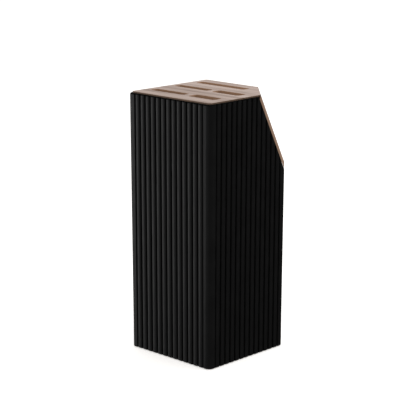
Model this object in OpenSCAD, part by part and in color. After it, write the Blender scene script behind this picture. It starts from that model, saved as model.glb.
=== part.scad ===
// Upright square knife block: a ribbed moulded shell with one top corner cut off by a sloping plane,
// and a lift-out insert of two wooden boards on a plastic carrier with five blade sleeves.
// Millimetres. Origin at the middle of the footprint, on the surface that the feet stand on.
// The long knife slots run along X. The sloping cut takes the corner at +X, +Y.

/* [Shell] */
// Outside width of the square shell, over the rib crests
shell_width = 102.2; // [102:0.1:106]
// Height of the shell from its bottom edge to its rim
shell_height = 239.1; // [225:0.1:260]
// Wall thickness from a rib crest to the cavity
wall = 2.2; // [2.2:0.1:3]
// Radius of the vertical outside corners
corner_radius = 5; // [4.5:0.1:6]

/* [Ribs] */
// Distance from one groove to the next
rib_pitch = 6.5; // [6:0.1:6.6]
// Number of ribs on each side
rib_count = 13; // [5:2:13]
// Depth of a groove below the rib crests
groove_depth = 1.2; // [0.6:0.1:1.4]
// Width of a groove at its mouth
groove_width = 1.5; // [1:0.1:2.5]
// How far a rib's edges fall away below its crest
rib_crown = 0.6; // [0.2:0.1:0.6]

/* [Boards] */
// Thickness of the top board
board_t = 12; // [10:0.5:14]
// Thickness of the sloping corner board, with its lip
corner_board_t = 7; // [6:0.5:8]
// Gap between a board's edge and the cavity wall
board_gap = 0.25; // [0.2:0.05:0.4]
// How far the top board stands above the shell's rim
board_proud = 1.3; // [0.5:0.1:2]
// How far the corner board stands out of the shell's sloping cut
corner_proud = 2.2; // [1.5:0.1:3]
// How far the corner board's lip stays inside the shell's outer surface
lip_inset = 0.5; // [0.5:0.1:2]

/* [Sloping cut] */
// Steepness of the cut from the horizontal
slope = 70.35; // [66:0.05:74]
// Length that the cut takes off each top edge of the shell
cut_leg = 36.7; // [34:0.1:40]

/* [Slots] */
// Distance from the middle to the centre line of the front row of slots
front_row = -27.5; // [-28:0.5:-26]
// Distance from the middle to the centre line of the middle row of slots
middle_row = 4; // [3.5:0.5:5.5]
// Distance from the middle to the centre line of the rear slot
rear_row = 32; // [31.5:0.5:33.5]
// Width of the two slots for long slim blades
slim_slot_w = 9; // [6:0.5:9]
// Width of the slot for the broad blade
broad_slot_w = 9; // [7:0.5:9]
// Width of the two short slots
short_slot_w = 11.5; // [8:0.5:11.5]
// Radius of the slots' corners
slot_corner = 2.5; // [1:0.5:3]

/* [Insert] */
// Wall thickness of a blade sleeve
sleeve_wall = 1.2; // [1:0.1:1.2]
// Height of the sleeves' lower ends above the standing surface
sleeve_bottom = 22; // [20.5:0.5:30]

/* [Base] */
// Height of the shell's bottom edge above the standing surface
foot_stand = 0.8; // [0.5:0.1:2]
// Thickness of the base plate
base_plate_t = 3; // [2.5:0.1:4]
// Radius of each foot
foot_radius = 8; // [6:0.5:9]

/* [Hidden] */
$fn = 64;

eps = 0.01;
big = 400;

// Heights
shell_z = foot_stand;
rim_z = shell_z + shell_height;
top_z = rim_z + board_proud;
board_z = top_z - board_t;
carrier_t = 2.5;
carrier_z = board_z - carrier_t;
ledge_t = 3;
ledge_z = carrier_z - ledge_t;
guide_t = 3;
guide_z = sleeve_bottom;
base_plate_z = shell_z + 2.2;
base_top_z = base_plate_z + base_plate_t;

// Half widths
shell_half = shell_width / 2;
cavity_half = shell_half - wall;
cavity_radius = corner_radius - wall;
board_half = cavity_half - board_gap;
board_radius = cavity_radius - board_gap;
lip_half = shell_half - lip_inset;
lip_radius = corner_radius - lip_inset;
ledge_half = cavity_half - 2.5;
carrier_half = board_half - 0.2;
guide_half = ledge_half - 0.7;
rail_reach = 43;
rail_stop = 22;
base_plate_half = cavity_half - 1.2;

// Sloping planes, measured inwards from the corner board's face
ridge_sum = shell_width - cut_leg;
ridge = [ridge_sum / 2, ridge_sum / 2, top_z];
lip_t = corner_proud - 0.2;
slope_plate_t = 2;
mitre_run = corner_board_t / sin(slope) - board_t / tan(slope);
mitre_tilt = 90 + atan(mitre_run / board_t);

// Knife slots: name, left end, right end, centre line, width
SLOTS = [
    ["bread", -42, -0.4, front_row, slim_slot_w],
    ["carving", -43, -1.2, middle_row, slim_slot_w],
    ["chef", -42, 18.4, rear_row, broad_slot_w],
    ["utility", 5.4, 38, middle_row, short_slot_w],
    ["paring", 6.8, 38.4, front_row, short_slot_w]
];
sleeve_clear = 0.4;
flange_w = 1.2;
flange_t = 1.2;
seat_gap = 0.1;

// Posts between the carrier and the lower guide
POSTS = [[-40, -40], [40, -40], [-38, 19], [30, 22]];
post_radius = 3;
post_bore = 1.6;
post_bore_depth = 12;
screw_radius = 1.5;

// Screws up into the top board, and along the slope into the corner board
BOARD_SCREWS = [[-30, -11], [30, -11], [-20, 19], [10, 19]];
CORNER_SCREWS = [[20, -12], [20, 12], [46, 0]];
board_screw_up = 7;
corner_screw_in = 3.5;

// Base fixings
boss_at = cavity_half - 8;
boss_radius = 4;
boss_web = 3;
boss_web_reach = 11;
boss_h = 12;
boss_bore = 1.35;
boss_bore_depth = 9;
base_screw_radius = 1.3;
foot_at = 31;
foot_recess = 1;
mat_half = 36;
mat_t = 2;

function flatten(lists) = [for (list = lists) each list];

function turned(points, angle) = [
    for (q = points) [q.x * cos(angle) - q.y * sin(angle), q.x * sin(angle) + q.y * cos(angle)]
];

function corner_arc(half, radius, steps) = [
    for (i = [0:steps])
        [half - radius + radius * sin(90 * i / steps), -half + radius - radius * cos(90 * i / steps)]
];

// One groove, from its left lip to its right lip. An end groove's outer lip is on the flat band.
function groove(x, half, left_fall, right_fall) = [
    [x - groove_width / 2, -half + left_fall],
    [x - groove_width / 5, -half + groove_depth],
    [x + groove_width / 5, -half + groove_depth],
    [x + groove_width / 2, -half + right_fall]
];

// The crowned face of one rib between two grooves
function rib_face(x, half, steps = 6) =
    let (reach = (rib_pitch - groove_width) / 2)
    [for (i = [1:steps - 1])
        let (t = 2 * i / steps - 1)
        [x + t * reach, -half + rib_crown * t * t]];

function ribbed_side(half) = flatten([
    for (i = [0:rib_count])
        let (x = (i - rib_count / 2) * rib_pitch)
        concat(
            groove(x, half, i == 0 ? 0 : rib_crown, i == rib_count ? 0 : rib_crown),
            i < rib_count ? rib_face(x + rib_pitch / 2, half) : []
        )
]);

function ribbed_outline(half) = flatten([
    for (k = [0:3]) turned(concat(ribbed_side(half), corner_arc(half, corner_radius, 8)), 90 * k)
]);

// A square prism with rounded vertical corners
module rounded_prism(half, radius, z0, z1) {
    flat = half - radius;
    translate([0, 0, z0]) {
        translate([-half, -flat, 0]) cube([2 * half, 2 * flat, z1 - z0]);
        translate([-flat, -half, 0]) cube([2 * flat, 2 * half, z1 - z0]);
        for (x = [-flat, flat], y = [-flat, flat])
            translate([x, y, 0]) cylinder(r = radius, h = z1 - z0);
    }
}

// A slot-shaped prism with rounded corners of radius r, from x0 to x1 about the line y
module slot_prism(x0, x1, y, width, r, z0, z1) {
    translate([x0 + r, y - width / 2, z0]) cube([x1 - x0 - 2 * r, width, z1 - z0]);
    translate([x0, y - width / 2 + r, z0]) cube([x1 - x0, width - 2 * r, z1 - z0]);
    for (x = [x0 + r, x1 - r], side = [-1, 1])
        translate([x, y + side * (width / 2 - r), z0]) cylinder(r = r, h = z1 - z0);
}

module slot_grown(slot, grow, z0, z1) {
    slot_prism(slot[1] - grow, slot[2] + grow, slot[3], slot[4] + 2 * grow, slot_corner + grow, z0, z1);
}

// Places its children on the sloping face: X runs down the slope, Z points out of it
module on_slope() {
    translate(ridge) rotate([0, slope, 45]) children();
}

// Everything further out than a plane that lies depth inwards from the sloping face
module outside_slope(depth) {
    on_slope() translate([-big / 2, -big / 2, -depth]) cube(big);
}

// Everything on one side of the mitre between the two boards: 0 for the corner's side, 1 for the top's
module beside_mitre(side) {
    translate(ridge) rotate([0, mitre_tilt, 45]) translate([-big / 2, -big / 2, -side * big]) cube(big);
}

module pan_screw(length, radius, head_radius = 3, head_h = 1.8) {
    difference() {
        union() {
            translate([0, 0, -head_h]) cylinder(r = head_radius, h = head_h);
            cylinder(r = radius, h = length);
        }
        driver_recess(-head_h);
    }
}

module countersunk_screw(length, radius, head_radius = 3, head_h = 1.6) {
    difference() {
        union() {
            cylinder(r1 = head_radius, r2 = radius, h = head_h);
            cylinder(r = radius, h = length);
        }
        driver_recess(0);
    }
}

module driver_recess(z) {
    for (angle = [0, 90])
        rotate(angle) translate([-1.6, -0.3, z - eps]) cube([3.2, 0.6, 1.1]);
}

module ribbed_shell() {
    color([0.07, 0.07, 0.07]) union() {
        difference() {
            translate([0, 0, shell_z]) linear_extrude(shell_height) polygon(ribbed_outline(shell_half));
            rounded_prism(cavity_half, cavity_radius, shell_z - eps, rim_z + eps);
            outside_slope(corner_proud);
        }
        insert_rails();
        for (angle = [0, 90, 180, 270])
            rotate(angle) translate([boss_at, boss_at, base_top_z]) base_boss();
    }
}

// Rails on the cavity walls, which the insert rests on. They stop well short of the sloping cut.
module insert_rails() {
    root = cavity_half + 0.7;
    for (turn = [0, 1])
        mirror([turn, -turn, 0]) {
            translate([-rail_reach, -root, ledge_z]) cube([2 * rail_reach, root - ledge_half, ledge_t]);
            translate([-rail_reach, ledge_half, ledge_z]) cube([rail_reach - rail_stop, root - ledge_half, ledge_t]);
        }
}

// A screw boss in a bottom corner of the cavity, joined to the corner by a web
module base_boss() {
    difference() {
        union() {
            cylinder(r = boss_radius, h = boss_h);
            rotate(45) translate([0, -boss_web / 2, 0]) cube([boss_web_reach, boss_web, boss_h]);
        }
        translate([0, 0, -eps]) cylinder(r = boss_bore, h = boss_bore_depth);
    }
}

module base_plate() {
    color([0.1, 0.1, 0.1]) difference() {
        rounded_prism(base_plate_half, cavity_radius - 0.3, base_plate_z, base_top_z);
        for (x = [-foot_at, foot_at], y = [-foot_at, foot_at])
            translate([x, y, base_plate_z - eps]) cylinder(r = foot_radius + seat_gap, h = foot_recess + eps);
        for (x = [-boss_at, boss_at], y = [-boss_at, boss_at])
            translate([x, y, base_plate_z - eps]) {
                cylinder(r = 1.7, h = base_plate_t + 1);
                cylinder(r1 = 3.2, r2 = 1.7, h = 1.7);
            }
    }
}

module base_screws() {
    color("silver") for (x = [-boss_at, boss_at], y = [-boss_at, boss_at])
        translate([x, y, base_plate_z]) countersunk_screw(10.5, base_screw_radius);
}

module foot(side_x, side_y) {
    color([0.16, 0.16, 0.16]) translate([side_x * foot_at, side_y * foot_at, 0]) {
        cylinder(r1 = foot_radius - 0.5, r2 = foot_radius, h = 0.5);
        translate([0, 0, 0.5]) cylinder(r = foot_radius, h = base_plate_z + foot_recess - 0.5);
    }
}

module foot_front_left() { foot(-1, -1); }
module foot_front_right() { foot(1, -1); }
module foot_rear_left() { foot(-1, 1); }
module foot_rear_right() { foot(1, 1); }

module tip_mat() {
    color([0.3, 0.3, 0.3]) rounded_prism(mat_half, 4, base_top_z, base_top_z + mat_t);
}

module top_board() {
    color([0.71, 0.63, 0.58]) difference() {
        rounded_prism(board_half, board_radius, board_z, top_z);
        beside_mitre(0);
        for (slot = SLOTS) slot_grown(slot, 0, board_z - eps, top_z + eps);
        for (at = BOARD_SCREWS)
            translate([at.x, at.y, board_z - eps]) cylinder(r = screw_radius + 0.05, h = board_screw_up + 0.5);
    }
}

module corner_board() {
    color([0.56, 0.46, 0.39]) difference() {
        union() {
            intersection() {
                rounded_prism(board_half, board_radius, rim_z / 2, top_z);
                outside_slope(corner_board_t);
            }
            intersection() {
                rounded_prism(lip_half, lip_radius, rim_z / 2, top_z);
                outside_slope(lip_t);
            }
        }
        outside_slope(0);
        beside_mitre(1);
        corner_screw_holes();
    }
}

module corner_screw_holes() {
    on_slope() for (at = CORNER_SCREWS)
        translate([at.x, at.y, -corner_board_t - 1])
            cylinder(r = screw_radius + 0.05, h = corner_screw_in + 1.3);
}

// A level plate under the top board and a sloping plate under the corner board
module carrier_frame() {
    color([0.12, 0.12, 0.12]) difference() {
        union() {
            difference() {
                rounded_prism(carrier_half, board_radius - 0.2, carrier_z, board_z);
                outside_slope(corner_board_t);
            }
            difference() {
                intersection() {
                    rounded_prism(carrier_half, board_radius - 0.2, rim_z / 2, board_z);
                    outside_slope(corner_board_t + slope_plate_t);
                }
                outside_slope(corner_board_t);
            }
        }
        for (slot = SLOTS) {
            slot_grown(slot, sleeve_clear + sleeve_wall + seat_gap, carrier_z - eps, board_z + eps);
            slot_grown(slot, sleeve_clear + sleeve_wall + flange_w + seat_gap, board_z - flange_t, board_z + eps);
        }
        for (at = BOARD_SCREWS)
            translate([at.x, at.y, carrier_z - eps]) cylinder(r = screw_radius + 0.2, h = carrier_t + 1);
        for (at = POSTS)
            translate([at.x, at.y, carrier_z - eps]) {
                cylinder(r = screw_radius + 0.2, h = carrier_t + 1);
                translate([0, 0, carrier_t - 1.7 + eps]) cylinder(r1 = 1.7, r2 = 3.3, h = 1.7 + eps);
            }
        on_slope() for (at = CORNER_SCREWS)
            translate([at.x, at.y, -corner_board_t - slope_plate_t - 1])
                cylinder(r = screw_radius + 0.2, h = slope_plate_t + 2);
    }
}

module lower_guide() {
    color([0.12, 0.12, 0.12]) difference() {
        rounded_prism(guide_half, 4, guide_z, guide_z + guide_t);
        for (slot = SLOTS)
            slot_grown(slot, sleeve_clear + sleeve_wall + seat_gap, guide_z - eps, guide_z + guide_t + eps);
        for (at = POSTS)
            translate([at.x, at.y, guide_z - eps]) cylinder(r = screw_radius + 0.2, h = guide_t + 1);
    }
}

// A tube of the slot's own shape, hung from the carrier by the flange round its top
module sleeve(slot) {
    color([0.2, 0.2, 0.2]) difference() {
        union() {
            slot_grown(slot, sleeve_clear + sleeve_wall, sleeve_bottom, board_z);
            slot_grown(slot, sleeve_clear + sleeve_wall + flange_w, board_z - flange_t, board_z);
        }
        slot_grown(slot, sleeve_clear, sleeve_bottom - eps, board_z + eps);
    }
}

module sleeve_bread() { sleeve(SLOTS[0]); }
module sleeve_carving() { sleeve(SLOTS[1]); }
module sleeve_chef() { sleeve(SLOTS[2]); }
module sleeve_utility() { sleeve(SLOTS[3]); }
module sleeve_paring() { sleeve(SLOTS[4]); }

module post(at) {
    z0 = guide_z + guide_t;
    color([0.15, 0.15, 0.15]) translate([at.x, at.y, 0]) difference() {
        translate([0, 0, z0]) cylinder(r = post_radius, h = carrier_z - z0);
        translate([0, 0, z0 - eps]) cylinder(r = post_bore, h = post_bore_depth + eps);
        translate([0, 0, carrier_z - post_bore_depth]) cylinder(r = post_bore, h = post_bore_depth + eps);
    }
}

module post_front_left() { post(POSTS[0]); }
module post_front_right() { post(POSTS[1]); }
module post_rear_left() { post(POSTS[2]); }
module post_rear_right() { post(POSTS[3]); }

module post_top_screws() {
    color("silver") for (at = POSTS)
        translate([at.x, at.y, board_z - 0.05]) mirror([0, 0, 1]) countersunk_screw(11, screw_radius);
}

module post_bottom_screws() {
    color("silver") for (at = POSTS)
        translate([at.x, at.y, guide_z]) pan_screw(11, screw_radius);
}

module board_screws() {
    color("silver") for (at = BOARD_SCREWS)
        translate([at.x, at.y, carrier_z]) pan_screw(carrier_t + board_screw_up, screw_radius);
}

module corner_screws() {
    color("silver") on_slope() for (at = CORNER_SCREWS)
        translate([at.x, at.y, -corner_board_t - slope_plate_t])
            pan_screw(slope_plate_t + corner_screw_in, screw_radius);
}

ribbed_shell();
base_plate();
base_screws();
tip_mat();
foot_front_left();
foot_front_right();
foot_rear_left();
foot_rear_right();
top_board();
corner_board();
carrier_frame();
lower_guide();
sleeve_bread();
sleeve_carving();
sleeve_chef();
sleeve_utility();
sleeve_paring();
post_front_left();
post_front_right();
post_rear_left();
post_rear_right();
post_top_screws();
post_bottom_screws();
board_screws();
corner_screws();
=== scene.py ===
"""The looks of an upright ribbed knife block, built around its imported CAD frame. Metres, +Z up.

The shell and the two wooden boards are rebuilt here with their fine shape: draft, crowned ribs, rounded
rims and eased edges. Every other piece is the CAD's own mesh with a finished material.
"""

import math

import bmesh
import bpy
from mathutils import Matrix, Quaternion, Vector


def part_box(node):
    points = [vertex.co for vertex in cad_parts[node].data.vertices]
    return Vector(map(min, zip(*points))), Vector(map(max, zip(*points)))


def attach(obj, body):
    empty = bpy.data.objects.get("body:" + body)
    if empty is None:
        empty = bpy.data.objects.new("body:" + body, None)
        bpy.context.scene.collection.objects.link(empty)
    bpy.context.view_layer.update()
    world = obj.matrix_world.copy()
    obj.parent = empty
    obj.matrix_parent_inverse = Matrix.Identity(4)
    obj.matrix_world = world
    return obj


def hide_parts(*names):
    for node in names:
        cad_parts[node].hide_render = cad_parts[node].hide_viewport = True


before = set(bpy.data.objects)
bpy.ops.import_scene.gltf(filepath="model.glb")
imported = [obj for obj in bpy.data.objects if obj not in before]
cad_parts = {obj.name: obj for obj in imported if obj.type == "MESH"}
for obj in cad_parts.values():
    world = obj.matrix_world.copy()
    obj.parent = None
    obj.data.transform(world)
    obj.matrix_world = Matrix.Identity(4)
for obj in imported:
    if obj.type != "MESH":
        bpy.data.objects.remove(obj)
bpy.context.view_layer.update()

MM = 0.001
UP = Vector((0, 0, 1))

# ---------------------------------------------------------------- driving sizes, from the frame

shell_low, shell_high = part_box("ribbed_shell")
SHELL_HALF = shell_high.x
SHELL_Z = shell_low.z
RIM_Z = shell_high.z

board_low, board_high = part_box("top_board")
BOARD_HALF = -board_low.x
BOARD_Z = board_low.z
TOP_Z = board_high.z
BOARD_T = TOP_Z - BOARD_Z

# The screw bosses stand on the base plate
BOSS_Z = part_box("base_plate")[1].z

# The names of the CAD's repeated pieces
SLEEVES = ("sleeve_bread", "sleeve_carving", "sleeve_chef", "sleeve_utility", "sleeve_paring")
POSTS = ("post_front_left", "post_front_right", "post_rear_left", "post_rear_right")
FEET = ("foot_front_left", "foot_front_right", "foot_rear_left", "foot_rear_right")
SCREWS = ("base_screws", "post_top_screws", "post_bottom_screws", "board_screws", "corner_screws")
# A sleeve's flange reaches this far beyond the slot on each side
SLEEVE_FLANGE = 2.8 * MM

# ---------------------------------------------------------------- the shell's sizes

# The shell narrows a little towards its foot, as a moulding has to
DRAFT = 0.95 * MM
CORNER_RADIUS = 5 * MM
WALL = 2.2 * MM
CAVITY_HALF = SHELL_HALF - WALL
RIM_EASE = 1.3 * MM
INNER_EASE = 0.3 * MM
FOOT_EASE = 0.4 * MM

RIB_PITCH = 6.5 * MM
RIB_COUNT = 13
GROOVE_DEPTH = 1.2 * MM
GROOVE_WIDTH = 1.5 * MM
RIB_CROWN = 0.6 * MM
# Painted shade darkens the grooves from this depth on, and is full at twice it
GROOVE_SHADE = 0.33 * MM
# The rounded rim gets painted shade too, down to this height
RIM_SHADE_Z = RIM_Z - 0.95 * RIM_EASE

RAIL_T = 3 * MM
RAIL_Z = BOARD_Z - 5.5 * MM
RAIL_INNER = CAVITY_HALF - 2.5 * MM
RAIL_ROOT = CAVITY_HALF + 0.5 * MM
RAIL_REACH = 43 * MM
RAIL_STOP = 22 * MM

BOSS_AT = CAVITY_HALF - 8 * MM
BOSS_RADIUS = 4 * MM
BOSS_BORE = 1.35 * MM
BOSS_HEIGHT = 12 * MM
BOSS_BORE_DEPTH = 9 * MM
WEB_T = 3 * MM
WEB_REACH = 11 * MM
WEB_HEIGHT = BOSS_HEIGHT - 0.2 * MM

# ---------------------------------------------------------------- the sloping cut and the boards

# The cut takes the top corner at +X, +Y. RIDGE is halfway along the edge between its face and the top.
SLOPE = math.radians(70.35)
CUT_LEG = 36.7 * MM
RIDGE = Vector((SHELL_HALF - CUT_LEG / 2, SHELL_HALF - CUT_LEG / 2, TOP_Z))


def diagonal(tilt):
    """The direction towards the cut corner, tilted from straight up."""
    across = math.sin(tilt) / math.sqrt(2)
    return Vector((across, across, math.cos(tilt)))


SLOPE_NORMAL = diagonal(SLOPE)
CUT_EASE = 0.6 * MM

BOARD_RADIUS = BOARD_HALF - CAVITY_HALF + CORNER_RADIUS - WALL
BOARD_EASE = 0.35 * MM
SLOT_CORNER = 2.5 * MM

# The corner board has a panel inside the shell, and a lip that covers the shell's cut edge
CORNER_PROUD = 2.2 * MM
CORNER_BOARD_T = 7 * MM
LIP_T = 2.1 * MM
LIP_INSET = 0.5 * MM
LIP_HALF = SHELL_HALF - LIP_INSET
LIP_RADIUS = CORNER_RADIUS - LIP_INSET
# The panel is set in from the top board's sides, to clear the shell's narrowing walls
PANEL_INSET = 0.2 * MM
PANEL_HALF = BOARD_HALF - PANEL_INSET
PANEL_RADIUS = BOARD_RADIUS - PANEL_INSET

# How far the mitre leans over the top board's thickness, so that it ends where the boards' backs meet
MITRE_RUN = CORNER_BOARD_T / math.sin(SLOPE) - BOARD_T / math.tan(SLOPE)
MITRE_NORMAL = diagonal(math.pi / 2 + math.atan(MITRE_RUN / BOARD_T))
MITRE_GAP = 0.05 * MM

# ---------------------------------------------------------------- mesh fineness

RIB_STEPS = 12
GROOVE_STEPS = 6
SHELL_CORNER_STEPS = 14
BOARD_CORNER_STEPS = 12
SLOT_CORNER_STEPS = 8
BOSS_STEPS = 32
BORE_STEPS = 20
SMOOTH_ANGLE = math.radians(32)
# Points closer than the first are joined, edges shorter than the second go, and a point nearer a cut
# than the third lies on it
WELD_DISTANCE = 2e-6
SLIVER_LENGTH = 1e-6
ON_PLANE = 1e-7

# ---------------------------------------------------------------- stage

CAMERA_AZIMUTH = math.radians(43.66)
CAMERA_ELEVATION = math.radians(13.476)
CAMERA_ROLL = math.radians(0.125)
CAMERA_DISTANCE = 1.3027
CAMERA_TARGET = Vector((0.04992, -0.05195, 0.14993))
CAMERA_LENS = 129.87
CAMERA_SENSOR = 36

LIGHT_AIM = Vector((0, 0, 0.13))
# Name, place, width and height, watts
LIGHTS = (
    ("key", (-0.95, -0.58, 0.07), (0.5, 0.9), 2.4),
    ("front_fill", (0.15, -1.75, 0.1), (0.7, 1.2), 0.7),
    ("top", (0.05, 0.05, 1.7), (1.0, 1.0), 7),
    ("fill_rear", (1.1, 1.2, 1.1), (0.9, 0.9), 6),
)
# The surroundings' brightness as a light, and as glossy surfaces see it
TENT_LEVEL = 0.7
TENT_IN_GLOSS = 0.015

FLOOR_HALF = 12
FLOOR_SQUARES = 12
FLOOR_COLOUR = (0.9, 0.89, 0.88, 1)
FLOOR_GLOW_COLOUR = (1, 0.975, 0.95, 1)
FLOOR_GLOW = 0.5


# ---------------------------------------------------------------- outlines

def turned(points, angle):
    c, s = math.cos(angle), math.sin(angle)
    return [(x * c - y * s, x * s + y * c) for x, y in points]


def arc(cx, cy, radius, start, end, steps):
    angles = [start + (end - start) * i / steps for i in range(steps + 1)]
    return [(cx + radius * math.cos(a), cy + radius * math.sin(a)) for a in angles]


def circle(radius, steps):
    return arc(0, 0, radius, 0, 2 * math.pi, steps)[:-1]


def four_sides(side):
    """The whole outline, from its -Y side with the corner that follows it."""
    return [p for k in range(4) for p in turned(side, k * math.pi / 2)]


def rib_relief(u, flat_outside):
    """Depth below the crest at u from a groove's middle.

    flat_outside is the side on which the flat band lies, -1 or 1, or 0 between ribs.
    """
    if abs(u) <= GROOVE_WIDTH / 2:
        lip = 0 if flat_outside and u * flat_outside > 0 else RIB_CROWN
        t = abs(u) / (GROOVE_WIDTH / 2)
        ease = t * t * (3 - 2 * t)
        return GROOVE_DEPTH + (lip - GROOVE_DEPTH) * ease
    t = (RIB_PITCH / 2 - abs(u)) / (RIB_PITCH / 2 - GROOVE_WIDTH / 2)
    return RIB_CROWN * t * t * t


def ribbed_side(half, inset):
    """The -Y side of the shell's outline, from -X to +X, kept at least inset below the crests."""
    points = []
    for i in range(RIB_COUNT + 1):
        x = (i - RIB_COUNT / 2) * RIB_PITCH
        outside = -1 if i == 0 else 1 if i == RIB_COUNT else 0
        for k in range(GROOVE_STEPS + 1):
            u = (k / GROOVE_STEPS - 0.5) * GROOVE_WIDTH
            points.append((x + u, -half + max(inset, rib_relief(u, outside))))
        if i < RIB_COUNT:
            run = RIB_PITCH - GROOVE_WIDTH
            for k in range(1, RIB_STEPS):
                u = GROOVE_WIDTH / 2 + run * k / RIB_STEPS
                across = u if u <= RIB_PITCH / 2 else RIB_PITCH - u
                points.append((x + u, -half + max(inset, rib_relief(across, 0))))
    return points


def ribbed_outline(half, radius, inset):
    centre = half - radius
    corner = arc(centre, -centre, radius - inset, -math.pi / 2, 0, SHELL_CORNER_STEPS)
    return four_sides(ribbed_side(half, inset) + corner)


def square_outline(half, radius):
    centre = half - radius
    return four_sides(arc(centre, -centre, radius, -math.pi / 2, 0, BOARD_CORNER_STEPS))


def slot_outline(x0, x1, y, width, grow):
    """A rounded rectangle, anticlockwise from its right end's near corner."""
    points = []
    for k, (side, end) in enumerate(((-1, x1), (1, x1), (1, x0), (-1, x0))):
        cx = end - SLOT_CORNER if end == x1 else end + SLOT_CORNER
        cy = y + side * (width / 2 - SLOT_CORNER)
        start = (k - 1) * math.pi / 2
        points += arc(cx, cy, SLOT_CORNER + grow, start, start + math.pi / 2, SLOT_CORNER_STEPS)
    return points


def ring(outline, z):
    return [Vector((x, y, z)) for x, y in outline]


def quarter_round(radius, steps=4):
    """(inset, rise) pairs of a rounded edge, from the side up to the top."""
    angles = [math.pi / 2 * i / steps for i in range(steps + 1)]
    return [(radius * (1 - math.cos(a)), radius * math.sin(a)) for a in angles]


# ---------------------------------------------------------------- mesh helpers

def loft(bm, rings):
    """A wall through rings of equal length. Returns the loops of vertices."""
    loops = [[bm.verts.new(p) for p in points] for points in rings]
    for low, high in zip(loops, loops[1:]):
        for i in range(len(low)):
            bm.faces.new((low[i - 1], low[i], high[i], high[i - 1]))
    return loops


def column(bm, outline, z0, z1):
    """An upright wall over one outline."""
    return loft(bm, [ring(outline, z0), ring(outline, z1)])


def loop_edges(bm, loop):
    pairs = list(zip(loop, loop[1:] + loop[:1]))
    return [bm.edges.get(pair) or bm.edges.new(pair) for pair in pairs]


def fill(bm, loops):
    """Closes the flat area between loops: the first is its outer edge and the others are holes."""
    edges = [e for loop in loops for e in loop_edges(bm, loop)]
    bmesh.ops.triangle_fill(bm, edges=edges, use_beauty=True)


def slice_off(bm, point, normal):
    """Takes away everything beyond a plane and closes the cut."""
    everything = bm.verts[:] + bm.edges[:] + bm.faces[:]
    made = bmesh.ops.bisect_plane(
        bm, geom=everything, dist=ON_PLANE, plane_co=point, plane_no=normal, clear_outer=True
    )
    rim = [e for e in made["geom_cut"] if isinstance(e, bmesh.types.BMEdge) and e.is_boundary]
    if rim:
        bmesh.ops.triangle_fill(bm, edges=rim, use_beauty=True)


def ease_edge(bm, point, first, second, amount, steps=3):
    """Rounds the straight edge through point, between the planes that face first and second."""
    spread = math.acos(first.dot(second)) / 2
    radius = amount / math.tan(spread)
    centre = point - (first + second).normalized() * (radius / math.cos(spread))
    for k in range(1, steps + 1):
        t = k / (steps + 1)
        normal = (first * (1 - t) + second * t).normalized()
        slice_off(bm, centre + normal * radius, normal)


def on_both(first, first_distance, second, second_distance):
    """A point where two planes meet. Each is given by its normal and its distance from the origin."""
    shared = first.dot(second)
    spread = 1 - shared * shared
    along_first = (first_distance - second_distance * shared) / spread
    along_second = (second_distance - first_distance * shared) / spread
    return first * along_first + second * along_second


def box_solid(bm, x0, x1, y0, y1, z0, z1):
    bottom, top = column(bm, [(x0, y0), (x1, y0), (x1, y1), (x0, y1)], z0, z1)
    bm.faces.new(bottom)
    bm.faces.new(top)


def finish_mesh(bm, name, material, body, replaced):
    """Turns bm into a piece that rides on its body: smooth where it curves, sharp where it turns."""
    bmesh.ops.remove_doubles(bm, verts=bm.verts[:], dist=WELD_DISTANCE)
    bmesh.ops.dissolve_degenerate(bm, edges=bm.edges[:], dist=SLIVER_LENGTH)
    bmesh.ops.recalc_face_normals(bm, faces=bm.faces[:])
    for face in bm.faces:
        face.smooth = True
    for edge in bm.edges:
        edge.smooth = edge.calc_face_angle(0) < SMOOTH_ANGLE
    piece = linked_mesh(bm, name, material)
    weighted = piece.modifiers.new("even_normals", "WEIGHTED_NORMAL")
    weighted.keep_sharp = True
    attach(piece, body)
    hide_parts(replaced)


def linked_mesh(bm, name, material):
    """An object in the scene, made from bm, which is used up."""
    mesh = bpy.data.meshes.new(name)
    bm.to_mesh(mesh)
    bm.free()
    mesh.materials.append(material)
    made = bpy.data.objects.new(name, mesh)
    bpy.context.scene.collection.objects.link(made)
    return made


# ---------------------------------------------------------------- materials

# Noise mostly keeps between these values, so colours and roughness spread over them
NOISE_LOW, NOISE_HIGH = 0.3, 0.7


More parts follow.
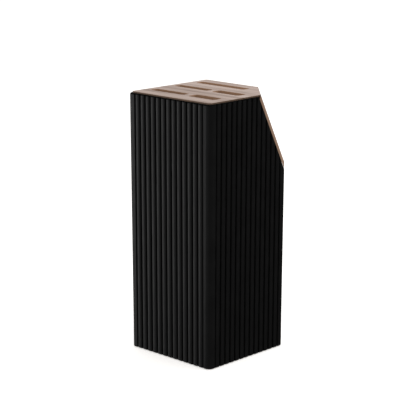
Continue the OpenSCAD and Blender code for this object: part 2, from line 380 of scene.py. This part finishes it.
class Nodes:
    """Short calls for building one material's nodes. Object coordinates are the row frame, in metres."""

    def __init__(self, name, **shader_values):
        self.material = bpy.data.materials.new(name)
        self.material.use_nodes = True
        self.tree = self.material.node_tree
        self.tree.nodes.clear()
        self.shader = self.tree.nodes.new("ShaderNodeBsdfPrincipled")
        output = self.tree.nodes.new("ShaderNodeOutputMaterial")
        self.link(self.shader.outputs[0], output.inputs["Surface"])
        self.place = self.tree.nodes.new("ShaderNodeTexCoord").outputs["Object"]
        for key, value in shader_values.items():
            self.shader.inputs[key.replace("_", " ")].default_value = value

    def link(self, source, target):
        self.tree.links.new(source, target)

    def feed(self, source, socket):
        """Sets a socket from another socket, a colour or a number."""
        if isinstance(source, tuple):
            socket.default_value = (*source, 1)
        elif isinstance(source, (int, float)):
            socket.default_value = source
        else:
            self.link(source, socket)

    def stretched(self, scale):
        node = self.tree.nodes.new("ShaderNodeMapping")
        node.inputs["Scale"].default_value = scale
        self.link(self.place, node.inputs["Vector"])
        return node.outputs[0]

    def noise(self, vector, scale, detail, roughness=0.55, distortion=0.0):
        node = self.tree.nodes.new("ShaderNodeTexNoise")
        node.inputs["Scale"].default_value = scale
        node.inputs["Detail"].default_value = detail
        node.inputs["Roughness"].default_value = roughness
        node.inputs["Distortion"].default_value = distortion
        self.link(vector, node.inputs["Vector"])
        return node.outputs["Fac"]

    def ridges(self, scale):
        """Straight even waves across X."""
        node = self.tree.nodes.new("ShaderNodeTexWave")
        node.bands_direction = "X"
        node.inputs["Scale"].default_value = scale
        self.link(self.place, node.inputs["Vector"])
        return node.outputs["Fac"]

    def tones(self, value, dark, light, start=NOISE_LOW, end=NOISE_HIGH):
        """A colour that goes from dark to light as value goes from start to end."""
        node = self.tree.nodes.new("ShaderNodeValToRGB")
        for element, at, colour in zip(node.color_ramp.elements, (start, end), (dark, light)):
            element.position = at
            element.color = (*colour, 1)
        self.link(value, node.inputs["Fac"])
        return node.outputs["Color"]

    def level(self, value, low, high, start=NOISE_LOW, end=NOISE_HIGH):
        """A number that goes from low to high as value goes from start to end."""
        node = self.tree.nodes.new("ShaderNodeMapRange")
        node.inputs["From Min"].default_value = start
        node.inputs["From Max"].default_value = end
        node.inputs["To Min"].default_value = low
        node.inputs["To Max"].default_value = high
        self.link(value, node.inputs["Value"])
        return node.outputs["Result"]

    def mix(self, factor, first, second):
        """Goes from first to second as factor rises to 1."""
        node = self.tree.nodes.new("ShaderNodeMix")
        node.data_type = "RGBA"
        ends = {"A": first, "B": second}
        for socket in node.inputs:
            if socket.type == "RGBA":
                self.feed(ends[socket.name], socket)
            elif socket.type == "VALUE" and socket.name == "Factor":
                self.link(factor, socket)
        return [s for s in node.outputs if s.type == "RGBA"][0]

    def calculate(self, operation, first, second):
        node = self.tree.nodes.new("ShaderNodeMath")
        node.operation = operation
        for socket, source in zip(node.inputs, (first, second)):
            self.feed(source, socket)
        return node.outputs[0]

    def weighed(self, *parts):
        """The sum of values, each times its weight."""
        total = 0.0
        for value, weight in parts:
            share = self.calculate("MULTIPLY", value, weight)
            total = self.calculate("ADD", total, share)
        return total

    def across(self):
        """The Y coordinate, in metres."""
        node = self.tree.nodes.new("ShaderNodeSeparateXYZ")
        self.link(self.place, node.inputs[0])
        return node.outputs["Y"]

    def facing(self, direction):
        """How far the surface, before any bump, faces a direction of the row frame, -1 to 1."""
        geometry = self.tree.nodes.new("ShaderNodeNewGeometry")
        node = self.tree.nodes.new("ShaderNodeVectorMath")
        node.operation = "DOT_PRODUCT"
        self.link(geometry.outputs["Normal"], node.inputs[0])
        node.inputs[1].default_value = direction
        return node.outputs["Value"]

    def attribute(self, name):
        """A value that the piece's mesh carries, or 0 where it carries none."""
        node = self.tree.nodes.new("ShaderNodeAttribute")
        node.attribute_name = name
        return node.outputs["Fac"]

    def colour(self, socket):
        self.link(socket, self.shader.inputs["Base Color"])

    def rough(self, socket):
        self.link(socket, self.shader.inputs["Roughness"])

    def surface(self, value, dark, light, roughness):
        """Colour and roughness that both follow one value."""
        self.colour(self.tones(value, dark, light))
        self.rough(self.level(value, *roughness))

    def bump(self, distance, *heights):
        """Stacks bumps from (height, strength) pairs onto the shader's normal."""
        normal = None
        for height, strength in heights:
            node = self.tree.nodes.new("ShaderNodeBump")
            node.inputs["Strength"].default_value = strength
            node.inputs["Distance"].default_value = distance
            self.link(height, node.inputs["Height"])
            if normal:
                self.link(normal, node.inputs["Normal"])
            normal = node.outputs[0]
        self.link(normal, self.shader.inputs["Normal"])


def shell_black():
    """Fine-grained black plastic. The grooves and the rounded rim are painted blacker, as painted shade,
    and dull.
    """
    n = Nodes("shell_black", Specular_IOR_Level=0.35)
    # Painted shade for the grooves and the rounded rim, mixed in by the groove attribute
    groove_painted_shade = (0.0004, 0.0004, 0.0004)
    mottling = n.noise(n.place, scale=60, detail=4)
    grain = n.noise(n.place, scale=2600, detail=2)
    groove = n.attribute("groove")
    base = n.tones(mottling, dark=(0.0062, 0.0062, 0.0063), light=(0.0078, 0.0078, 0.0079))
    n.colour(n.mix(groove, base, groove_painted_shade))
    n.rough(n.calculate("MAXIMUM", n.level(mottling, 0.38, 0.48), groove))
    n.bump(0.06 * MM, (grain, 0.25))
    return n.material


def inner_black():
    """Black plastic of the inner parts."""
    n = Nodes("inner_black", Specular_IOR_Level=0.3)
    cloud = n.noise(n.place, scale=90, detail=3)
    grain = n.noise(n.place, scale=1900, detail=2)
    n.surface(cloud, (0.018, 0.018, 0.0185), (0.026, 0.026, 0.0265), roughness=(0.45, 0.6))
    n.bump(0.06 * MM, (grain, 0.2))
    return n.material


def sleeve_black():
    """Black plastic with faint upright drawing marks."""
    n = Nodes("sleeve_black", Specular_IOR_Level=0.4)
    drawn = n.noise(n.stretched((1, 1, 0.06)), scale=420, detail=3)
    n.surface(drawn, (0.032, 0.032, 0.034), (0.045, 0.045, 0.047), roughness=(0.32, 0.46))
    n.bump(0.08 * MM, (drawn, 0.15))
    return n.material


def foot_rubber():
    n = Nodes("foot_rubber", Specular_IOR_Level=0.3)
    cloud = n.noise(n.place, scale=300, detail=4)
    grain = n.noise(n.place, scale=3500, detail=2)
    n.surface(cloud, (0.02, 0.02, 0.02), (0.032, 0.031, 0.03), roughness=(0.75, 0.9))
    n.bump(0.08 * MM, (grain, 0.4))
    return n.material


def mat_grey():
    """Soft grey mat with fine ridges."""
    n = Nodes("mat_grey", Specular_IOR_Level=0.3)
    cloud = n.noise(n.place, scale=200, detail=3)
    n.surface(cloud, (0.06, 0.06, 0.062), (0.08, 0.08, 0.082), roughness=(0.6, 0.75))
    n.bump(0.3 * MM, (n.ridges(scale=160), 0.5))
    return n.material


def screw_steel():
    """Turned steel, with fine level rings."""
    n = Nodes("screw_steel", Metallic=1.0)
    cloud = n.noise(n.place, scale=500, detail=3)
    brushed = n.noise(n.stretched((1, 1, 8)), scale=1500, detail=2)
    n.surface(cloud, (0.46, 0.46, 0.45), (0.62, 0.62, 0.61), roughness=(0.25, 0.42))
    n.bump(0.05 * MM, (brushed, 0.2))
    return n.material


# The grain's tone spreads over these values
GRAIN_LOW, GRAIN_HIGH = 0.43, 0.57
# A surface counts as sawn below the first of these cosines to the face, and as face above the second
SAWN_FACING, FACE_FACING = 0.62, 0.86
# Painted shade along the top board's outer edge, where it meets the shell's rim
RIM_PAINTED_SHADE = (0.15, 0.093, 0.06)


def wood(name, grain_scale, face, light, dark, side_light, side_dark, paling):
    """Oiled hardwood. Its grain runs along the axis where grain_scale is smallest.

    Sawn sides are darker than the face, whose paler tones are a painted sheen, and the rim is darkest, a
    painted shade line. The tone rises by paling for each metre along +Y.
    """
    n = Nodes(name, Specular_IOR_Level=0.3)
    along = n.stretched(grain_scale)
    fibres = n.noise(along, scale=1.0, detail=5, roughness=0.62, distortion=0.3)
    streaks = n.noise(along, scale=0.35, detail=4, roughness=0.6, distortion=0.5)
    figure = n.noise(along, scale=0.12, detail=3, roughness=0.5, distortion=0.9)
    pores = n.noise(along, scale=3.2, detail=2, roughness=0.5)
    tone = n.weighed((fibres, 0.3), (streaks, 0.35), (figure, 0.35), (n.across(), paling))
    flat = n.tones(tone, dark, light, GRAIN_LOW, GRAIN_HIGH)
    sides = n.tones(tone, side_dark, side_light, GRAIN_LOW, GRAIN_HIGH)
    sides_with_rim_shade = n.mix(n.attribute("rim"), sides, RIM_PAINTED_SHADE)
    # The face's tones carry a painted sheen; surfaces facing away take the sides' darker tones
    whole = n.mix(n.level(n.facing(face), 0, 1, SAWN_FACING, FACE_FACING), sides_with_rim_shade, flat)
    specks = n.level(pores, 0.28, 0, start=0.3, end=0.4)
    n.colour(n.mix(specks, whole, side_dark))
    n.rough(n.level(fibres, 0.5, 0.66))
    n.bump(0.12 * MM, (fibres, 0.25), (pores, 0.2))
    return n.material


def top_wood():
    return wood(
        "top_wood",
        grain_scale=(9, 150, 150),
        face=UP,
        # The face's pale, greyed tones are a painted sheen
        light=(0.57, 0.455, 0.4),
        dark=(0.345, 0.26, 0.22),
        side_light=(0.5, 0.3, 0.185),
        side_dark=(0.36, 0.21, 0.125),
        paling=1.1,
    )


def corner_wood():
    return wood(
        "corner_wood",
        grain_scale=(150, 150, 9),
        face=SLOPE_NORMAL,
        light=(0.43, 0.305, 0.235),
        dark=(0.33, 0.22, 0.16),
        side_light=(0.4, 0.255, 0.17),
        side_dark=(0.3, 0.18, 0.115),
        paling=0,
    )


# ---------------------------------------------------------------- the shell

def shell_half_at(z):
    return SHELL_HALF - DRAFT * (RIM_Z - z) / (RIM_Z - SHELL_Z)


def outer_ring(z, inset):
    return ring(ribbed_outline(shell_half_at(z), CORNER_RADIUS, inset), z)


def inner_ring(z, grow):
    inset = WALL - grow
    return ring(square_outline(shell_half_at(z) - inset, CORNER_RADIUS - inset), z)


def build_shell(material):
    bm = bmesh.new()
    foot = reversed(quarter_round(FOOT_EASE))
    outer = [outer_ring(SHELL_Z + FOOT_EASE - up, inset) for inset, up in foot]
    outer += [outer_ring(RIM_Z - RIM_EASE + up, inset) for inset, up in quarter_round(RIM_EASE)]
    inner = [inner_ring(SHELL_Z, 0)]
    inner += [inner_ring(RIM_Z - INNER_EASE + up, grow) for grow, up in quarter_round(INNER_EASE, 2)]
    outer_loops = loft(bm, outer)
    inner_loops = loft(bm, inner)
    fill(bm, [outer_loops[-1], inner_loops[-1]])
    fill(bm, [outer_loops[0], inner_loops[0]])
    cut = RIDGE - SLOPE_NORMAL * CORNER_PROUD
    slice_off(bm, cut, SLOPE_NORMAL)
    ease_cut(bm, cut)
    mark_grooves(bm)
    add_rails(bm)
    add_bosses(bm)
    finish_mesh(bm, "shell_moulding", material, "shell", "ribbed_shell")


def ease_cut(bm, cut):
    """Rounds the shell's outer edges along the sloping cut, on both faces."""
    for side in (Vector((1, 0, 0)), Vector((0, 1, 0))):
        lean = Vector((side.x, side.y, -DRAFT / (RIM_Z - SHELL_Z))).normalized()
        rim_point = side * SHELL_HALF + UP * RIM_Z
        edge = on_both(lean, rim_point.dot(lean), SLOPE_NORMAL, cut.dot(SLOPE_NORMAL))
        ease_edge(bm, edge, lean, SLOPE_NORMAL, CUT_EASE)


def mark_grooves(bm):
    """Writes how deep in a groove each point is, 0 to 1, for the material, which paints shade by it.

    The plain corners and the cavity count as not deep, and the rounded rim as deep, so it gets full
    painted shade.
    """
    layer = bm.verts.layers.float.new("groove")
    ribbed_reach = (RIB_COUNT + 0.5) * RIB_PITCH / 2
    outer_skin = 1.5 * GROOVE_DEPTH
    for vert in bm.verts:
        x, y = abs(vert.co.x), abs(vert.co.y)
        depth = shell_half_at(vert.co.z) - max(x, y)
        if min(x, y) < ribbed_reach and depth < outer_skin:
            vert[layer] = min(1, max(0, depth / GROOVE_SHADE - 1))
        # The rounded rim gets full painted shade
        if depth < WALL and vert.co.z > RIM_SHADE_Z:
            vert[layer] = 1


def add_rails(bm):
    """Rails on the four cavity walls, which the insert rests on. They stop short of the sloping cut."""
    z0, z1 = RAIL_Z, RAIL_Z + RAIL_T
    for x0, x1, y0, y1 in (
        (-RAIL_REACH, RAIL_REACH, -RAIL_ROOT, -RAIL_INNER),
        (-RAIL_REACH, -RAIL_STOP, RAIL_INNER, RAIL_ROOT),
    ):
        box_solid(bm, x0, x1, y0, y1, z0, z1)
        box_solid(bm, y0, y1, x0, x1, z0, z1)


def add_bosses(bm):
    """A screw boss in each bottom corner, joined to the corner by a web."""
    x0, x1, y = 2 * BOSS_BORE, WEB_REACH, WEB_T / 2
    web_outline = turned([(x0, -y), (x1, -y), (x1, y), (x0, y)], math.pi / 4)
    for k in range(4):
        before = set(bm.verts)
        outside = column(bm, circle(BOSS_RADIUS, BOSS_STEPS), BOSS_Z, BOSS_Z + BOSS_HEIGHT)
        bore = column(bm, circle(BOSS_BORE, BORE_STEPS), BOSS_Z, BOSS_Z + BOSS_BORE_DEPTH)
        fill(bm, [outside[0], bore[0]])
        bm.faces.new(outside[1])
        bm.faces.new(bore[1])
        web = column(bm, web_outline, BOSS_Z, BOSS_Z + WEB_HEIGHT)
        bm.faces.new(web[0])
        bm.faces.new(web[1])
        made = [v for v in bm.verts if v not in before]
        bmesh.ops.translate(bm, verts=made, vec=(BOSS_AT, BOSS_AT, 0))
        bmesh.ops.transform(bm, verts=made, matrix=Matrix.Rotation(k * math.pi / 2, 4, "Z"))


# ---------------------------------------------------------------- the boards

def slots():
    """(x0, x1, y, width) of each knife slot, from the sleeve that hangs below it."""
    found = []
    for name in SLEEVES:
        low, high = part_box(name)
        y = (low.y + high.y) / 2
        width = high.y - low.y - 2 * SLEEVE_FLANGE
        found.append((low.x + SLEEVE_FLANGE, high.x - SLEEVE_FLANGE, y, width))
    return found


def build_top_board(material):
    bm = bmesh.new()
    edge = quarter_round(BOARD_EASE)
    levels = [(inset, BOARD_Z + BOARD_EASE - up) for inset, up in reversed(edge)]
    levels += [(inset, TOP_Z - BOARD_EASE + up) for inset, up in edge]
    walls = [loft(bm, [ring(square_outline(BOARD_HALF - e, BOARD_RADIUS - e), z) for e, z in levels])]
    for slot in slots():
        walls.append(loft(bm, [ring(slot_outline(*slot, grow), z) for grow, z in levels]))
    fill(bm, [wall[0] for wall in walls])
    fill(bm, [wall[-1] for wall in walls])
    slice_off(bm, RIDGE - MITRE_NORMAL * MITRE_GAP, MITRE_NORMAL)
    ease_edge(bm, RIDGE, UP, MITRE_NORMAL, BOARD_EASE)
    mark_rim(bm)
    finish_mesh(bm, "top_board_wood", material, "insert", "top_board")


def mark_rim(bm):
    """Writes 1 at the board's outer edge and 0 elsewhere, for the material's painted shade line."""
    layer = bm.verts.layers.float.new("rim")
    for vert in bm.verts:
        vert[layer] = max(abs(vert.co.x), abs(vert.co.y)) > BOARD_HALF - BOARD_RADIUS / 2


def sloping_solid(half, radius, back, front):
    """The part of a rounded square column that lies between two depths below the sloping face.

    The column starts halfway up the shell, which is below all of the sloping cut.
    """
    bm = bmesh.new()
    walls = column(bm, square_outline(half, radius), RIM_Z / 2, TOP_Z)
    fill(bm, [walls[0]])
    fill(bm, [walls[1]])
    slice_off(bm, RIDGE - SLOPE_NORMAL * front, SLOPE_NORMAL)
    slice_off(bm, RIDGE - SLOPE_NORMAL * back, -SLOPE_NORMAL)
    slice_off(bm, RIDGE + MITRE_NORMAL * MITRE_GAP, -MITRE_NORMAL)
    return bm


def ease_lip(bm):
    """Rounds the lip's outer edge, along both faces and round the corner between them."""
    for k in range(BOARD_CORNER_STEPS + 1):
        angle = math.pi / 2 * k / BOARD_CORNER_STEPS
        side = Vector((math.cos(angle), math.sin(angle), 0))
        distance = (LIP_HALF - LIP_RADIUS) * (side.x + side.y) + LIP_RADIUS
        edge = on_both(side, distance, SLOPE_NORMAL, RIDGE.dot(SLOPE_NORMAL))
        ease_edge(bm, edge, side, SLOPE_NORMAL, BOARD_EASE, 2)


def build_corner_board(material):
    """The panel starts halfway into the lip, so that the two overlap."""
    panel = sloping_solid(PANEL_HALF, PANEL_RADIUS, CORNER_BOARD_T, LIP_T / 2)
    lip = sloping_solid(LIP_HALF, LIP_RADIUS, LIP_T, 0)
    ease_lip(lip)
    mesh = bpy.data.meshes.new("panel")
    panel.to_mesh(mesh)
    panel.free()
    lip.from_mesh(mesh)
    bpy.data.meshes.remove(mesh)
    finish_mesh(lip, "corner_board_wood", material, "insert", "corner_board")


# ---------------------------------------------------------------- materials on the CAD's own pieces

def dress(material, names):
    for name in names:
        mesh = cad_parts[name].data
        mesh.materials.clear()
        mesh.materials.append(material)


# ---------------------------------------------------------------- stage

def add_light(name, place, size, power):
    light = bpy.data.lights.new(name, "AREA")
    light.shape = "RECTANGLE"
    light.size, light.size_y = size
    light.energy = power
    lamp = bpy.data.objects.new(name, light)
    lamp.location = place
    lamp.rotation_mode = "QUATERNION"
    lamp.rotation_quaternion = (LIGHT_AIM - Vector(place)).to_track_quat("-Z", "Y")
    bpy.context.scene.collection.objects.link(lamp)


def add_floor():
    """A white light table: the floor glows a little, so that shadows on it stay faint."""
    bm = bmesh.new()
    bmesh.ops.create_grid(bm, x_segments=FLOOR_SQUARES, y_segments=FLOOR_SQUARES, size=FLOOR_HALF)
    n = Nodes("floor_white", Roughness=0.9, Specular_IOR_Level=0.0, Emission_Strength=FLOOR_GLOW)
    n.shader.inputs["Emission Color"].default_value = FLOOR_GLOW_COLOUR
    n.shader.inputs["Base Color"].default_value = FLOOR_COLOUR
    floor = linked_mesh(bm, "floor", n.material)
    floor.visible_diffuse = False
    floor.visible_glossy = False
    floor.visible_shadow = False


def add_world():
    """A white tent with black flags round it: it lights the object evenly, but gloss sees mostly dark."""
    world = bpy.data.worlds.new("studio")
    world.use_nodes = True
    tree = world.node_tree
    path = tree.nodes.new("ShaderNodeLightPath")
    strength = tree.nodes.new("ShaderNodeMapRange")
    strength.inputs["To Min"].default_value = TENT_LEVEL
    strength.inputs["To Max"].default_value = TENT_IN_GLOSS
    tree.links.new(path.outputs["Is Glossy Ray"], strength.inputs["Value"])
    background = tree.nodes["Background"]
    background.inputs["Color"].default_value = (1, 1, 1, 1)
    tree.links.new(strength.outputs[0], background.inputs["Strength"])
    bpy.context.scene.world = world


def add_camera():
    """Looks at the front upright corner from the front right, a little from above."""
    flat = math.cos(CAMERA_ELEVATION)
    across, along = math.sin(CAMERA_AZIMUTH) * flat, math.cos(CAMERA_AZIMUTH) * flat
    back = Vector((across, -along, math.sin(CAMERA_ELEVATION)))
    data = bpy.data.cameras.new("camera")
    data.sensor_width = CAMERA_SENSOR
    data.lens = CAMERA_LENS
    camera = bpy.data.objects.new("camera", data)
    camera.location = CAMERA_TARGET + back * CAMERA_DISTANCE
    camera.rotation_mode = "QUATERNION"
    camera.rotation_quaternion = (-back).to_track_quat("-Z", "Y") @ Quaternion((0, 0, 1), CAMERA_ROLL)
    bpy.context.scene.collection.objects.link(camera)
    bpy.context.scene.camera = camera


# ---------------------------------------------------------------- build

bpy.context.scene.view_settings.view_transform = "Standard"
add_camera()
add_world()
for light in LIGHTS:
    add_light(*light)
add_floor()

build_shell(shell_black())
build_top_board(top_wood())
build_corner_board(corner_wood())

dress(inner_black(), ["base_plate", "carrier_frame", "lower_guide", *POSTS])
dress(sleeve_black(), SLEEVES)
dress(foot_rubber(), FEET)
dress(mat_grey(), ["tip_mat"])
dress(screw_steel(), SCREWS)
